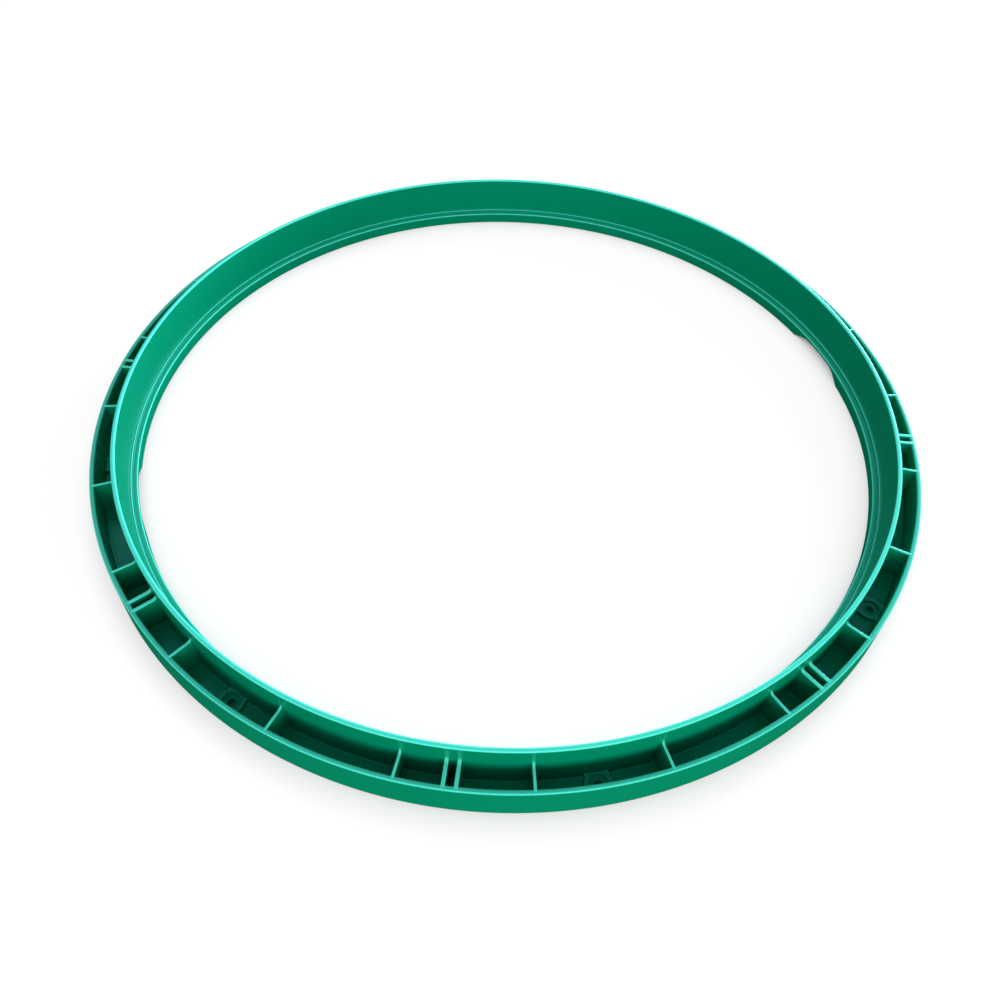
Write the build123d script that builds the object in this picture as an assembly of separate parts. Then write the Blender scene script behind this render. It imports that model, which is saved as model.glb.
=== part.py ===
from build123d import *
import os

# Riser tank adapter: one ring, moulded in one shot, that seats a round riser on the opening of a tank.
# It stands on its underside at Z = 0 with its axis on Z, and the two notches in its lip lie on the X axis.
# Sizes are in millimetres and degrees. Radii are named _r, and heights are above the underside.

# Collar, the tall inner wall that the riser slips over: round above the ribs, drafted below them
collar_r = 316.5
collar_height = 45.0
collar_rim_wall = 3.5
collar_foot_wall = 4.4
collar_flare = 0.5
rim_bevel = 1.0

# Stair inside the collar: a narrow step, then a wider ledge that ends in the lip
step_height = 12.5
step_width = 2.0
step_bevel = 0.5
riser_draft = 0.4
ledge_height = 10.0
ledge_width = 4.0
ledge_bevel = 1.0

# Lip that lines the opening, and the groove that cores out the foot behind it
lip_wall = 3.3
groove_width = 3.5
groove_roof = 2.5

# Two notches in the lip's lower edge, with sloped ends
notch_opening = 75.0
notch_roof = 44.0
notch_depth = 7.5
notch_round = 20.0

# Open channel and the shell, the low outer wall
channel_width = 16.5
channel_draft = 0.4
shell_height = 29.5
shell_wall = 3.5
shell_flare = 1.0
shell_bevel = 0.8
shell_foot_bevel = 1.2

# Floor of the channel, with a raised panel in each cell
floor_thickness = 2.5
panel_rise = 1.0
panel_gap = 1.5

# Ribs across the channel: evenly spaced single ones, and a close pair in each sector
sector_count = 8
ribs_per_sector = 3
rib_thickness = 2.0
pair_angle = 21.04
pair_rib_thickness = 2.8
pair_slot = 5.3
gusset = 3.0

# Screw bosses, one in each sector, midway between two single ribs
boss_height = 6.0
boss_pad_width = 15.5
boss_diameter = 18.5
recess_diameter = 13.0
recess_depth = 2.0
screw_hole_diameter = 5.5

# Radii of the section, from the collar inwards
rim_inner_r = collar_r - collar_rim_wall
step_outer_r = collar_r - collar_foot_wall
step_inner_r = step_outer_r - step_width
ledge_outer_r = step_inner_r - riser_draft
lip_inner_r = ledge_outer_r - ledge_width
lip_outer_r = lip_inner_r + lip_wall
foot_inner_r = lip_outer_r + groove_width
groove_middle_r = lip_outer_r + groove_width / 2

# Radii of the section, from the collar outwards
collar_foot_r = collar_r + collar_flare
channel_outer_r = collar_r + channel_width
channel_foot_r = channel_outer_r - channel_draft
channel_middle_r = collar_r + channel_width / 2
shell_r = channel_outer_r + shell_wall
shell_foot_r = shell_r + shell_flare

# What stands in the channel is rooted half way into the walls and the floor
root_inner_r = collar_r - collar_rim_wall / 2
root_outer_r = channel_outer_r + shell_wall / 2
root_height = floor_thickness / 2

groove_height = ledge_height - groove_roof
gusset_height = shell_height + gusset
panel_height = floor_thickness + panel_rise
sector_angle = 360 / sector_count
rib_count = sector_count * ribs_per_sector
boss_angle = -sector_angle / ribs_per_sector / 2
pair_offset = (pair_slot + pair_rib_thickness) / 2


def corners(face, *places):
    """The corners of a flat face that are nearest to the given places."""
    return [face.vertices().sort_by_distance(place)[0] for place in places]


def around(solid, count, angle=0):
    """Copies of a solid, evenly spaced about the ring's axis and starting at an angle."""
    return [place * solid for place in PolarLocations(0, count, angle)]


def ring_section():
    """Half section of the ring without ribs, with radius on X and height on Y."""
    face = make_face(
        Polyline(
            (lip_inner_r, 0),
            (lip_inner_r, ledge_height),
            (ledge_outer_r, ledge_height),
            (step_inner_r, step_height),
            (step_outer_r, step_height),
            (rim_inner_r, collar_height),
            (collar_r, collar_height),
            (collar_r, gusset_height),
            (collar_foot_r, floor_thickness),
            (channel_foot_r, floor_thickness),
            (channel_outer_r, shell_height),
            (shell_r, shell_height),
            (shell_foot_r, 0),
            (foot_inner_r, 0),
            (foot_inner_r, groove_height),
            (lip_outer_r, groove_height),
            (lip_outer_r, 0),
            close=True,
        )
    )
    face = chamfer(corners(face, (rim_inner_r, collar_height), (collar_r, collar_height)), rim_bevel)
    face = chamfer(corners(face, (channel_outer_r, shell_height), (shell_r, shell_height)), shell_bevel)
    face = chamfer(corners(face, (step_inner_r, step_height)), step_bevel)
    face = chamfer(corners(face, (lip_inner_r, ledge_height)), ledge_bevel)
    return chamfer(corners(face, (shell_foot_r, 0)), shell_foot_bevel)


def rib(thickness, offset=0):
    """Web across the channel, level with the shell, with a small gusset up to the collar."""
    side = Polygon(
        (root_inner_r, root_height),
        (root_outer_r, root_height),
        (root_outer_r, shell_height),
        (collar_r + gusset, shell_height),
        (collar_r, gusset_height),
        (root_inner_r, gusset_height),
        align=None,
    )
    return Pos(Y=offset) * extrude(Plane.XZ * side, thickness / 2, both=True)


def floor_panels():
    """Raised panels of the floor: a flat band that stands clear of walls, ribs and bosses."""
    band = Cylinder(channel_foot_r - panel_gap, panel_height)
    band -= Cylinder(collar_foot_r + panel_gap, panel_height)
    rib_gap = Box(channel_width, rib_thickness + 2 * panel_gap, panel_height)
    pair_gap = Box(channel_width, pair_slot + 2 * (pair_rib_thickness + panel_gap), panel_height)
    boss_gap = Cylinder(boss_diameter / 2 + panel_gap, panel_height)
    band -= around(Pos(X=channel_middle_r) * rib_gap, rib_count)
    band -= around(Pos(X=channel_middle_r) * pair_gap, sector_count, pair_angle)
    band -= around(Pos(X=channel_middle_r) * boss_gap, sector_count, boss_angle)
    return Pos(Z=panel_height / 2) * band


def boss():
    """Pad as wide as the channel with a round swelling, rising from inside the floor."""
    pad = Box(root_outer_r - root_inner_r, boss_pad_width, boss_height - root_height)
    pad = Pos(X=(root_inner_r + root_outer_r) / 2) * pad
    swelling = Pos(X=channel_middle_r) * Cylinder(boss_diameter / 2, boss_height - root_height)
    channel = Cylinder(root_outer_r, boss_height) - Cylinder(root_inner_r, boss_height)
    return Pos(Z=(boss_height + root_height) / 2) * ((pad + swelling) & channel)


def screw_seat():
    """Round recess for the screw's head and washer, and the hole through the floor below it."""
    recess = Pos(Z=boss_height) * Cylinder(recess_diameter / 2, 2 * recess_depth)
    hole = Cylinder(screw_hole_diameter / 2, 2 * boss_height)
    return Pos(X=channel_middle_r) * (recess + hole)


def lip_notches():
    """One bar across the ring that cuts both notches and stops inside the groove."""
    profile = Polygon(
        (-notch_opening / 2, 0),
        (notch_opening / 2, 0),
        (notch_roof / 2, notch_depth),
        (-notch_roof / 2, notch_depth),
        align=None,
    )
    roof_corners = corners(profile, (-notch_roof / 2, notch_depth), (notch_roof / 2, notch_depth))
    bar = extrude(Plane.YZ * fillet(roof_corners, notch_round), groove_middle_r, both=True)
    return bar & Cylinder(groove_middle_r, 2 * ledge_height)


ring = revolve(Plane.XZ * ring_section(), Axis.Z)
ring += floor_panels()
ring += around(rib(rib_thickness), rib_count)
ring += around(rib(pair_rib_thickness, pair_offset), sector_count, pair_angle)
ring += around(rib(pair_rib_thickness, -pair_offset), sector_count, pair_angle)
ring += around(boss(), sector_count, boss_angle)
ring -= around(screw_seat(), sector_count, boss_angle)
ring -= lip_notches()

os.makedirs("parts", exist_ok=True)
export_step(ring, "parts/adapter_ring.step")
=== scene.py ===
import math

import bmesh
import bpy
import numpy as np
from mathutils import Matrix, Vector


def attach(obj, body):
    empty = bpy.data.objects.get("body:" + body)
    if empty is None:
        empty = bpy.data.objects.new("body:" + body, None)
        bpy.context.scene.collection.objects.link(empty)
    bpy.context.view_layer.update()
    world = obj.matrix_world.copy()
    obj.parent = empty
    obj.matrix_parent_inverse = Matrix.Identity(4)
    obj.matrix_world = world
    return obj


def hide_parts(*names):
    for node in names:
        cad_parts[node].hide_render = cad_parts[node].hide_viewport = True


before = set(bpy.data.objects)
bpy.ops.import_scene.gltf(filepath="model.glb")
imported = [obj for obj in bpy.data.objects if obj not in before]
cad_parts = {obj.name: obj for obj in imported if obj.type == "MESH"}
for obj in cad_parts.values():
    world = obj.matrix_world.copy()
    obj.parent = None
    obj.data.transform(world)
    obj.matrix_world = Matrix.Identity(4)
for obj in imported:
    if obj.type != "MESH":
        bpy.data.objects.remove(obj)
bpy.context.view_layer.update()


# Studio.
# A hand-held camera close above the ring and a pale floor under it, in a bright room. Two soft lights
# stand low, so that little light reaches deep places, and a third hangs behind on the left and glints on
# what is flat.

def linear(hex_colour):
    """An sRGB colour written as hex, turned to the linear values that shaders use."""
    channels = [int(hex_colour[start:start + 2], 16) / 255 for start in (1, 3, 5)]
    return [c / 12.92 if c <= 0.04045 else ((c + 0.055) / 1.055) ** 2.4 for c in channels] + [1]


def add_node(tree, kind, settings=None, links=None):
    """Adds a shader node, sets its properties and inputs by name or number, and links its inputs."""
    node = tree.nodes.new(kind)
    for name, value in (settings or {}).items():
        if isinstance(name, str) and hasattr(node, name):
            setattr(node, name, value)
        else:
            node.inputs[name].default_value = value
    for name, socket in (links or {}).items():
        tree.links.new(socket, node.inputs[name])
    return node


# The camera stood off the ring's axis, turned from the notches by the angle that the photo shows
camera_swing = math.radians(-19.16)
camera_tilt = math.radians(39.082)
camera_roll = math.radians(2.159)
camera_place = Vector((-0.0038, -0.5289, 0.5469))
turn = Matrix.Rotation(camera_swing, 4, "Z")

lens = bpy.data.cameras.new("lens")
lens.sensor_fit = "HORIZONTAL"
lens.sensor_width = 36
lens.lens = 31.38
lens.clip_start = 0.01
camera = bpy.data.objects.new("camera", lens)
camera.matrix_world = (
    turn
    @ Matrix.Translation(camera_place)
    @ Matrix.Rotation(camera_tilt, 4, "X")
    @ Matrix.Rotation(camera_roll, 4, "Z")
)
bpy.context.scene.collection.objects.link(camera)
bpy.context.scene.camera = camera
bpy.context.scene.view_settings.view_transform = "Standard"


def soft_light(name, place, width, height, power, colour=(1, 1, 1)):
    """A soft box that faces the middle of the ring; its place is given in the photo's frame."""
    lamp = bpy.data.lights.new(name, "AREA")
    lamp.shape = "RECTANGLE"
    lamp.size = width
    lamp.size_y = height
    lamp.energy = power
    lamp.color = colour
    box = bpy.data.objects.new(name, lamp)
    box.location = turn @ Vector(place)
    box.rotation_euler = (-box.location).to_track_quat("-Z", "Y").to_euler()
    bpy.context.scene.collection.objects.link(box)


soft_light("front_light", place=(0.5, -2.1, 0.55), width=3.6, height=1.1, power=42)
soft_light(
    "back_right_light",
    place=(1.38, 1.65, 0.48),
    width=1.3,
    height=0.95,
    power=88,
    colour=(0.8, 1, 1.2),
)
soft_light("high_back_light", place=(-0.69, 1.30, 1.76), width=1.1, height=1.1, power=6)

# The room's own light is even and a little cool, and the camera sees it as plain white
room_tint = (0.9, 1.0, 1.1, 1)
room_level = 0.48
room = bpy.data.worlds.new("room")
room.use_nodes = True
bpy.context.scene.world = room
tree = room.node_tree
tree.nodes.clear()
ray = add_node(tree, "ShaderNodeLightPath")
ambient = add_node(tree, "ShaderNodeBackground", {"Color": room_tint, "Strength": room_level})
backdrop = add_node(tree, "ShaderNodeBackground", {"Color": (1, 1, 1, 1), "Strength": 1})
choice = add_node(
    tree,
    "ShaderNodeMixShader",
    links={0: ray.outputs["Is Camera Ray"], 1: ambient.outputs[0], 2: backdrop.outputs[0]},
)
add_node(tree, "ShaderNodeOutputWorld", links={0: choice.outputs[0]})

# Matt paper floor: white to the camera, with the ring's soft shadow on it, partly real in the lit paper and
# partly painted; to the ring it is dull green, so that it throws no white light up into the green. Where
# the ring stands the camera sees that green too, a painted shade that shows through the screw holes. Sizes
# are in metres
floor_half = 1.8
paper_glow = 0.78
shadow_reach = 0.02
shadow_curve = 0.4
ring_middle_r = 0.3245
ring_half_width = 0.011
floor_sheet = bpy.data.meshes.new("floor")
floor_sheet.from_pydata(
    [(x * floor_half, y * floor_half, 0) for x, y in ((-1, -1), (1, -1), (1, 1), (-1, 1))],
    [],
    [(0, 1, 2, 3)],
)
floor = bpy.data.objects.new("floor", floor_sheet)
bpy.context.scene.collection.objects.link(floor)
paper = bpy.data.materials.new("white_paper")
paper.use_nodes = True
tree = paper.node_tree
tree.nodes.clear()
ray = add_node(tree, "ShaderNodeLightPath")
dull = add_node(tree, "ShaderNodeBsdfDiffuse", {"Color": linear("#308c70")})
shaded = add_node(tree, "ShaderNodeBsdfDiffuse", {"Color": linear("#a39c99")})
# The white glow fades where the floor is closed in near the ring: a painted shadow over the real one
beside = add_node(tree, "ShaderNodeAmbientOcclusion", {"samples": 4, "Distance": shadow_reach})
soft = add_node(tree, "ShaderNodeMath", {"operation": "POWER", 1: shadow_curve}, {0: beside.outputs["AO"]})
place = add_node(tree, "ShaderNodeTexCoord")
reach = add_node(tree, "ShaderNodeVectorMath", {"operation": "LENGTH"}, {0: place.outputs["Object"]})
# Where the ring stands on the floor, the camera sees the dull green as painted shade
painted_shade_mask = add_node(
    tree,
    "ShaderNodeMath",
    {"operation": "COMPARE", 1: ring_middle_r, 2: ring_half_width},
    {0: reach.outputs["Value"]},
)
white = add_node(tree, "ShaderNodeEmission", {"Strength": paper_glow}, {"Color": soft.outputs["Value"]})
seen = add_node(tree, "ShaderNodeAddShader", links={0: shaded.outputs[0], 1: white.outputs[0]})
clear = add_node(
    tree,
    "ShaderNodeMath",
    {"operation": "SUBTRACT"},
    {0: ray.outputs["Is Camera Ray"], 1: painted_shade_mask.outputs["Value"]},
)
sheet = add_node(
    tree, "ShaderNodeMixShader", links={0: clear.outputs["Value"], 1: dull.outputs[0], 2: seen.outputs[0]}
)
add_node(tree, "ShaderNodeOutputMaterial", links={0: sheet.outputs[0]})
floor_sheet.materials.append(paper)


# Adapter ring.
# One injection moulding in green polyethylene: a tall collar with a stair and a thin lip inside it, and
# round it an open channel with ribs, raised floor panels and screw pads. Its edges come rounded from the
# mould. The skin is one closed net: rows follow the section of the ring, and columns go round it.
# Sizes are in millimetres and degrees.

mm = 0.001

# The collar and what is inside it
collar_r = 316.5
collar_top = 45.0
rim_inner_r = 313.0
step_outer_r = 312.1
step_inner_r = 310.1
step_z = 12.5
ledge_outer_r = 309.7
ledge_z = 10.0
lip_inner_r = 305.7
lip_outer_r = 309.0
groove_z = 7.5
foot_inner_r = 312.5

# The channel and the shell
collar_foot_r = 317.0
channel_foot_r = 332.6
shell_inner_r = 333.0
shell_outer_r = 336.5
shell_foot_r = 337.5
shell_top = 29.5
floor_z = 2.5
middle_r = (collar_r + shell_inner_r) / 2
gusset_top = 32.5

# Roundings from the mould, each drawn in a few steps
rim_round = 1.2
foot_round = 1.5
cell_round = 0.8
gusset_round = gusset_top - shell_top
arc_steps = 3


def rounded(corners):
    """A line through corners (r, z, radius, highlights), each turned into an arc of points (r, z, painted
    highlight).
    """
    points = []
    for number in range(1, len(corners) - 1):
        corner = Vector(corners[number][:2])
        radius = corners[number][2]
        back = (Vector(corners[number - 1][:2]) - corner).normalized()
        onward = (Vector(corners[number + 1][:2]) - corner).normalized()
        half = back.angle(onward) / 2
        centre = corner + (back + onward).normalized() * radius / math.sin(half)
        start = corner + back * radius / math.tan(half) - centre
        end = corner + onward * radius / math.tan(half) - centre
        sweep = start.angle(end)
        edge = corners[number][3] if len(corners[number]) > 3 else [0] * (arc_steps + 1)
        for step in range(arc_steps + 1):
            share = step / arc_steps
            bend = start * math.sin((1 - share) * sweep) + end * math.sin(share * sweep)
            points.append((*(centre + bend / math.sin(sweep)), edge[step]))
    return points


# The section outside the channel: over the shell's top, under the foot, round the lip and up the collar.
# Each point of an arc carries a painted highlight, a lighter mint that stands for the light its rounded
# edge catches, and the flat before or behind an arc takes a part of it
arc_highlight = (0, 0.85, 0.85, 0.3)
corner_highlight = (0.15, 0.1, 0, 0)
shell_highlight_before = (0.4, 0.8, 0.8, 0)
shell_highlight_behind = (0, 0.4, 0.4, 0.4)
rim_highlight_before = (0.7, 1, 1, 0)
rim_highlight_behind = (0, 1, 1, 0.7)
outside = rounded(
    [
        (shell_inner_r, shell_top),
        (shell_outer_r, shell_top, rim_round, shell_highlight_before),
        (shell_foot_r, 0, foot_round),
        (foot_inner_r, 0, 0.4),
        (foot_inner_r, groove_z, cell_round),
        (lip_outer_r, groove_z, cell_round),
        (lip_outer_r, 0, 0.4),
        (lip_inner_r, 0, 0.5),
        (lip_inner_r, ledge_z, 1.0, arc_highlight),
        (ledge_outer_r, ledge_z, 0.5, corner_highlight),
        (step_inner_r, step_z, 0.6, arc_highlight),
        (step_outer_r, step_z, 0.5, corner_highlight),
        (rim_inner_r, collar_top, rim_round, rim_highlight_behind),
        (collar_r, collar_top, rim_round, rim_highlight_before),
        (collar_r, gusset_top),
    ]
)

# Inside the channel, the floor's rows and how far each of them is lifted where a panel stands
panel_rise = 1.0
panel_gap = 1.5
panel_edge = ((-0.1, 0.0), (0.0, 0.65), (0.12, 0.9), (0.35, 1.0))
panel_inner_r = collar_foot_r + panel_gap
panel_outer_r = channel_foot_r - panel_gap
middle_rows = 5
floor_rows = [(panel_inner_r + step, lift) for step, lift in panel_edge]
floor_rows += [
    (panel_inner_r + (panel_outer_r - panel_inner_r) * (number + 1) / (middle_rows + 1), 1.0)
    for number in range(middle_rows)
]
floor_rows += [(panel_outer_r - step, lift) for step, lift in reversed(panel_edge)]
# The rounded rim of a floor panel gets a painted highlight
panel_rim_highlight = 0.7


def panel_highlight(rise):
    """The painted highlight of a floor panel at a share of its rise: only its rounded rim gets one."""
    return panel_rim_highlight if 0.5 < rise < 1 else 0


quarter_arc = [math.radians(angle) for angle in (0, 30, 60, 90)]


def channel_section(height, lift, blend, edge, trace):
    """The section across the channel, where its floor is at a height and blends into the collar; each point
    carries its painted highlight.
    """
    slope = (collar_foot_r - collar_r) / (gusset_top - floor_z)
    near = collar_r + slope * (gusset_top - height - blend)
    far = channel_foot_r + (shell_inner_r - channel_foot_r) * (height - floor_z) / (shell_top - floor_z)
    corner = min(cell_round, max(0.0, shell_top - rim_round - height))
    points = []
    for t in quarter_arc:
        highlight = max(edge * math.sin(t), trace)
        points.append((near + blend * (1 - math.cos(t)), height + blend * (1 - math.sin(t)), highlight))
    start, end = near + blend, far - corner
    free_start, free_end = collar_foot_r + cell_round, channel_foot_r - cell_round
    for r, row_lift in floor_rows:
        share = (r - free_start) / (free_end - free_start)
        rise = min(lift, row_lift)
        r = start + (end - start) * share
        points.append((r, height + panel_rise * rise, max(edge, panel_highlight(rise))))
    points += [
        (far - corner * (1 - math.sin(t)), height + corner * (1 - math.cos(t)), edge) for t in quarter_arc
    ]
    crest_r, crest_z = shell_inner_r + rim_round, shell_top - rim_round
    for t, crest_edge in zip(quarter_arc, shell_highlight_behind):
        z = crest_z + rim_round * math.sin(t)
        points.append((crest_r - rim_round * math.cos(t), max(z, height), max(edge, crest_edge)))
    return points


# Above each rib the collar's wall is a faint strip lighter, at a share of the mint on the rib's top
trace_share = 0.1


def column(angle, offset, height, lift=0.0, blend=cell_round, edge=0):
    """One column of the net: rows of radius, angle, height and painted highlight, set off sideways from an
    angle.
    """
    trace = trace_share * edge if blend > cell_round else 0
    wall = (*outside[-1][:2], trace)
    rows = []
    for r, z, row_edge in [*outside[:-1], wall, *channel_section(height, lift, blend, edge, trace)]:
        reach = min(max(r, collar_r), shell_inner_r)
        rows.append((r, math.radians(angle) + math.asin(offset(reach) / reach), z, row_edge))
    return rows


side_arc = (0, math.pi / 4, math.pi / 2)


def side_columns(angle, wall, away, top, rounding, highlights, blend=cell_round):
    """Columns up the side of a rib or a pad: a fillet on the floor, the wall, and a rounded upper edge."""
    steps = [
        (cell_round * (1 - math.sin(t)), floor_z + cell_round * (1 - math.cos(t)), cell_round, 0)
        for t in side_arc
    ]
    steps += [
        (-rounding * (1 - math.cos(t)), top - rounding * (1 - math.sin(t)), blend, edge)
        for t, edge in zip(side_arc, highlights)
    ]
    return [
        column(angle, lambda r, out=out: wall(r) + away * out, z, 0.0, fillet, edge)
        for out, z, fillet, edge in steps
    ]


def panel_columns(angle, edge, away):
    """Columns over the edge of a floor panel that stands clear of a rib or a pad."""
    return [
        column(angle, lambda r, out=out: edge(r) + away * out, floor_z, lift)
        for out, lift in panel_edge
    ]


# Single ribs, evenly spaced, with a painted highlight on their rounded tops
rib_spacing = 15
rib_half = 1.0
rib_round = 0.5
rib_highlights = (0, 0.9, 0.8)
columns = []
for angle in range(0, 360, rib_spacing):
    for side in (-1, 1):
        columns += side_columns(
            angle, lambda r: side * rib_half, side, shell_top, rib_round, rib_highlights, gusset_round
        )
        columns += panel_columns(angle, lambda r: side * (rib_half + panel_gap), side)

# Pairs of thicker ribs, with a narrow slot between them and the same painted highlight on their tops
sector = 45
pair_angle = 21.04
pair_inner = 2.65
pair_outer = 5.45
pair_round = 0.6
for start in range(0, 360, sector):
    angle = start + pair_angle
    columns.append(column(angle, lambda r: 0.0, floor_z))
    for side in (-1, 1):
        for half, away in ((pair_inner, -side), (pair_outer, side)):
            columns += side_columns(
                angle, lambda r: side * half, away, shell_top, pair_round, rib_highlights, gusset_round
            )
        columns += panel_columns(angle, lambda r: side * (pair_outer + panel_gap), side)

# Screw pads, as wide as the channel, with a round swelling about the screw and a painted highlight on their
# rounded upper edges
pad_angle = -7.5
pad_top = 6.0
pad_half = 7.75
pad_round = 0.5
pad_highlights = (0, 0.7, 0.2)
swelling_r = 9.25
least_gap = 1.0


def pad_edge(r):
    """Half the width of a screw pad at a radius."""
    return max(pad_half, math.sqrt(max(0.0, swelling_r ** 2 - (r - middle_r) ** 2)))


def pad_clearance(r):
    """Half the width of the gap that the floor panels leave for a screw pad."""
    swelling = math.sqrt((swelling_r + panel_gap) ** 2 - (r - middle_r) ** 2)
    return max(pad_edge(r) + least_gap, swelling)


for start in range(0, 360, sector):
    angle = start + pad_angle
    columns += [column(angle, lambda r: across * pad_half / 2, pad_top) for across in (-1, 0, 1)]
    for side in (-1, 1):
        columns += side_columns(
            angle, lambda r: side * pad_edge(r), side, pad_top, pad_round, pad_highlights
        )
        columns += panel_columns(angle, lambda r: side * pad_clearance(r), side)


def corner_rows(number):
    """The rows that round one corner of the outer section, counted from 0 at the shell's outer top."""
    rows_per_corner = arc_steps + 1
    return slice(number * rows_per_corner, (number + 1) * rows_per_corner)


# The lip's two lower corners, and the corner of the groove behind it
groove_rows = corner_rows(4)
lip_outer_rows = corner_rows(5)
lip_inner_rows = corner_rows(6)
lip_row = lip_inner_rows.start

# The columns in order round the ring, then more between them where they are far apart or the lip is notched
columns.sort(key=lambda rows: rows[lip_row][1])
net = np.array(columns)
full_turn = 2 * math.pi


def columns_at(net, angles, nearest=math.radians(0.03)):
    """The net with columns added at the given angles, drawn evenly between the columns beside them."""
    last = net[:1] + [0, full_turn, 0, 0]
    closed = np.concatenate([net, last])
    places = closed[:, lip_row, 1]
    added = []
    for angle in angles:
        angle = places[0] + (angle - places[0]) % full_turn
        after = int(np.searchsorted(places, angle, side="right"))
        share = (angle - places[after - 1]) / (places[after] - places[after - 1])
        if min(angle - places[after - 1], places[after] - angle) > nearest:
            added.append(closed[after - 1] * (1 - share) + closed[after] * share)
    net = np.concatenate([net, np.array(added)])
    return net[np.argsort(net[:, lip_row, 1])]


widest = math.radians(1.0)
places = [*net[:, lip_row, 1], net[0, lip_row, 1] + full_turn]
wide_gaps = []
for before, after in zip(places, places[1:]):
    pieces = math.ceil((after - before) / widest)
    wide_gaps += [before + (after - before) * number / pieces for number in range(1, pieces)]
net = columns_at(net, wide_gaps)

# Two notches in the lip's lower edge, with sloped ends that round into a flat roof
notch_half = 37.5
notch_roof_half = 22.0
notch_depth = 7.5
notch_round = 20.0
notch_step = 2.5
notch_angles = [
    side + math.asin(step * notch_step / lip_inner_r)
    for side in (0, math.pi)
    for step in range(-round(notch_half / notch_step), round(notch_half / notch_step) + 1)
]
net = columns_at(net, notch_angles)


def notch_height(y):
    """Height of the lip's lower edge, at a distance from the notches' middle."""
    fall = math.atan2(notch_depth, notch_half - notch_roof_half)
    reach = notch_round * math.tan(fall / 2)
    arc_start = notch_roof_half - reach
    arc_end = notch_roof_half + reach * math.cos(fall)
    slope = (notch_half - np.abs(y)) * math.tan(fall)
    along = np.clip(np.abs(y) - arc_start, 0, notch_round)
    arc = notch_depth - notch_round + np.sqrt(notch_round ** 2 - along ** 2)
    return np.clip(np.where(np.abs(y) < arc_end, arc, slope), 0, notch_depth)


radius, angle, height = net[..., 0], net[..., 1], net[..., 2]
rise = notch_height(radius * np.sin(angle))
height[:, groove_rows] = np.maximum(height, rise)[:, groove_rows]
height[:, lip_outer_rows] = np.minimum(height + rise, groove_z)[:, lip_outer_rows]
height[:, lip_inner_rows] += rise[:, lip_inner_rows]

vertices = np.stack([radius * np.cos(angle), radius * np.sin(angle), height], axis=-1) * mm
column_count, row_count = vertices.shape[:2]
number = np.arange(column_count * row_count).reshape(column_count, row_count)
right = np.roll(number, -1, axis=0)
faces = np.stack(
    [number, np.roll(number, -1, axis=1), np.roll(right, -1, axis=1), right], axis=-1
).reshape(-1, 4)

skin = bpy.data.meshes.new("ring_skin")
skin.from_pydata(vertices.reshape(-1, 3).tolist(), [], faces.tolist())
# Each point keeps its share of painted highlight
skin.attributes.new("painted_highlight", "FLOAT", "POINT").data.foreach_set("value", net[..., 3].ravel())
same_place = 0.004 * mm
work = bmesh.new()
work.from_mesh(skin)
bmesh.ops.remove_doubles(work, verts=work.verts, dist=same_place)
work.to_mesh(skin)
work.free()
ring = bpy.data.objects.new("ring_skin", skin)
bpy.context.scene.collection.objects.link(ring)

# Screw seats: a round recess in each pad with a hole through the floor under it, both with soft mouths.
# What cuts them reaches well past the pad and the floor, and its mouth lies a hair above the pad
recess_r = 6.5
recess_z = 4.0
hole_r = 2.75
mouth_round = 0.4
seat_segments = 48
cutter_past = 1.0
cutter_mouth_z = pad_top + 0.01
seat_line = [
    (recess_r + cutter_past, cutter_mouth_z),
    (recess_r, cutter_mouth_z, mouth_round),
    (recess_r, recess_z, mouth_round),
    (hole_r, recess_z, mouth_round),
    (hole_r, -cutter_past),
]
seat_profile = [(0, pad_top + cutter_past), (recess_r + cutter_past, pad_top + cutter_past)]
seat_profile += [(r, z) for r, z, edge in rounded(seat_line)]
seat_profile += [(hole_r, -cutter_past), (0, -cutter_past)]

cutters = bmesh.new()
seat_middles = [
    Matrix.Rotation(math.radians(start + pad_angle), 4, "Z") @ Vector((middle_r, 0, 0))
    for start in range(0, 360, sector)
]
for middle in seat_middles:
    loops = []
    for r, z in seat_profile:
        loop = []
        for spot in [0] if r == 0 else range(seat_segments):
            turned = full_turn * spot / seat_segments
            reach = Vector((r * math.cos(turned), r * math.sin(turned), z))
            loop.append(cutters.verts.new((middle + reach) * mm))
        loops.append(loop)
    for upper, lower in zip(loops, loops[1:]):
        for spot in range(seat_segments):
            onward = (spot + 1) % seat_segments
            corners = [
                upper[spot % len(upper)],
                lower[spot % len(lower)],
                lower[onward % len(lower)],
                upper[onward % len(upper)],
            ]
            cutters.faces.new(list(dict.fromkeys(corners)))
bmesh.ops.recalc_face_normals(cutters, faces=cutters.faces)
seat_mesh = bpy.data.meshes.new("screw_seats")
cutters.to_mesh(seat_mesh)
cutters.free()
seats = bpy.data.objects.new("screw_seats", seat_mesh)
bpy.context.scene.collection.objects.link(seats)
cut = ring.modifiers.new("screw_seats", "BOOLEAN")
cut.operation = "DIFFERENCE"
cut.solver = "EXACT"
cut.object = seats
bpy.context.view_layer.update()
skin = bpy.data.meshes.new_from_object(ring.evaluated_get(bpy.context.evaluated_depsgraph_get()))
skin.name = "ring_skin"
ring.modifiers.clear()
ring.data = skin
bpy.data.objects.remove(seats)

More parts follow.
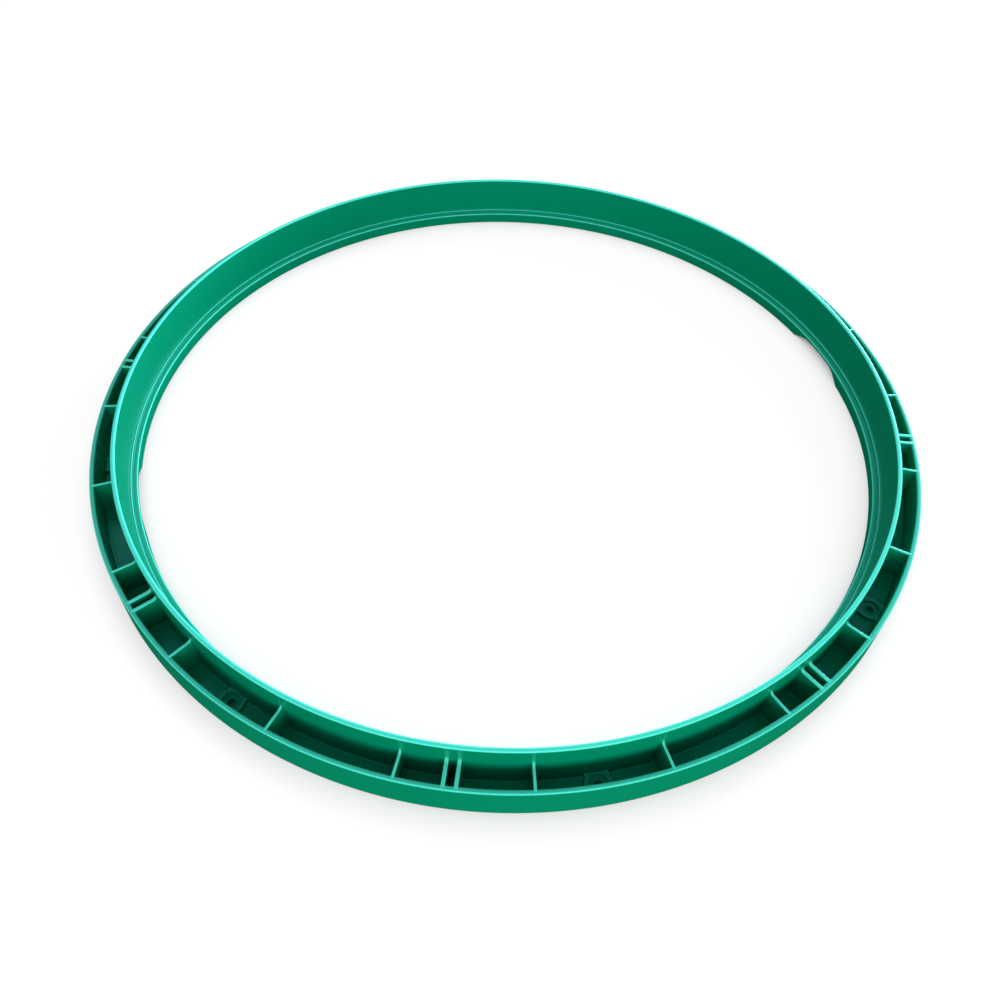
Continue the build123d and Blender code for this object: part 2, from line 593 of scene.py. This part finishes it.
# The cut leaves chance values of the painted highlight in the seats; there only the rounding of the
# recess's mouth gets a painted highlight
mouth_highlight = 0.4
slack = 0.02
seat_reach = recess_r + mouth_round + slack
points = np.empty((len(skin.vertices), 3), np.float32)
skin.vertices.foreach_get("co", points.ravel())
points /= mm
highlights = np.empty(len(skin.vertices), np.float32)
highlight_data = skin.attributes["painted_highlight"].data
highlight_data.foreach_get("value", highlights)
on_mouth = (points[:, 2] > pad_top - mouth_round + slack) & (points[:, 2] < pad_top - slack)
for middle in seat_middles:
    in_seat = np.hypot(points[:, 0] - middle.x, points[:, 1] - middle.y) < seat_reach
    highlights[in_seat] = np.where(on_mouth[in_seat], mouth_highlight, 0)
highlight_data.foreach_set("value", highlights)

# Smooth over the roundings, with a crease only where two walls meet
crease = math.radians(50)
skin.polygons.foreach_set("use_smooth", [True] * len(skin.polygons))
skin.set_sharp_from_angle(angle=crease)
even = ring.modifiers.new("even_shading", "WEIGHTED_NORMAL")
even.keep_sharp = True
even.weight = 100

# Green polyethylene, moulded against a fine matt tool: deep green in itself, with a painted highlight in
# mint on every rounded edge, a faint even grain, and slow waves in the walls that bend the reflections a
# little.
# The real grain is finer than a pixel, so it is drawn coarse enough to show
deep_green = linear("#008861")
paler_green = linear("#008f68")
highlight_mint = linear("#5af8dc")
sheen_tint = linear("#50f0ff")
grain_size = 1.2
grain_depth = 0.09
wave_size = 35.0
wave_depth = 0.25
cloud_size = 90.0
green = bpy.data.materials.new("moulded_polyethylene")
green.use_nodes = True
tree = green.node_tree
tree.nodes.clear()
place = add_node(tree, "ShaderNodeTexCoord")
grain = add_node(
    tree,
    "ShaderNodeTexNoise",
    {"Scale": 1 / (grain_size * mm), "Detail": 2.0, "Roughness": 0.5},
    {"Vector": place.outputs["Object"]},
)
waves = add_node(
    tree,
    "ShaderNodeTexNoise",
    {"Scale": 1 / (wave_size * mm), "Detail": 1.0},
    {"Vector": place.outputs["Object"]},
)
clouds = add_node(
    tree,
    "ShaderNodeTexNoise",
    {"Scale": 1 / (cloud_size * mm), "Detail": 3.0},
    {"Vector": place.outputs["Object"]},
)
body_colour = add_node(
    tree,
    "ShaderNodeMix",
    {"data_type": "RGBA", "A": deep_green, "B": paler_green},
    {"Factor": clouds.outputs["Fac"]},
)
# Rounded edges are mixed toward mint by their painted highlight
painted_highlight = add_node(tree, "ShaderNodeAttribute", {"attribute_name": "painted_highlight"})
colour = add_node(
    tree,
    "ShaderNodeMix",
    {"data_type": "RGBA", "B": highlight_mint},
    {"Factor": painted_highlight.outputs["Fac"], "A": body_colour.outputs["Result"]},
)
wave_bump = add_node(
    tree,
    "ShaderNodeBump",
    {"Strength": 1.0, "Distance": wave_depth * mm},
    {"Height": waves.outputs["Fac"]},
)
grain_bump = add_node(
    tree,
    "ShaderNodeBump",
    {"Strength": 0.6, "Distance": grain_depth * mm},
    {"Height": grain.outputs["Fac"], "Normal": wave_bump.outputs["Normal"]},
)
gloss = add_node(
    tree, "ShaderNodeMapRange", {"To Min": 0.28, "To Max": 0.36}, {"Value": clouds.outputs["Fac"]}
)
plastic = add_node(
    tree,
    "ShaderNodeBsdfPrincipled",
    {"IOR": 1.45, "Specular Tint": sheen_tint},
    {
        "Base Color": colour.outputs["Result"],
        "Roughness": gloss.outputs["Result"],
        "Normal": grain_bump.outputs["Normal"],
    },
)
add_node(tree, "ShaderNodeOutputMaterial", links={0: plastic.outputs[0]})
skin.materials.clear()
skin.materials.append(green)

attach(ring, "root")
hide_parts("adapter_ring")
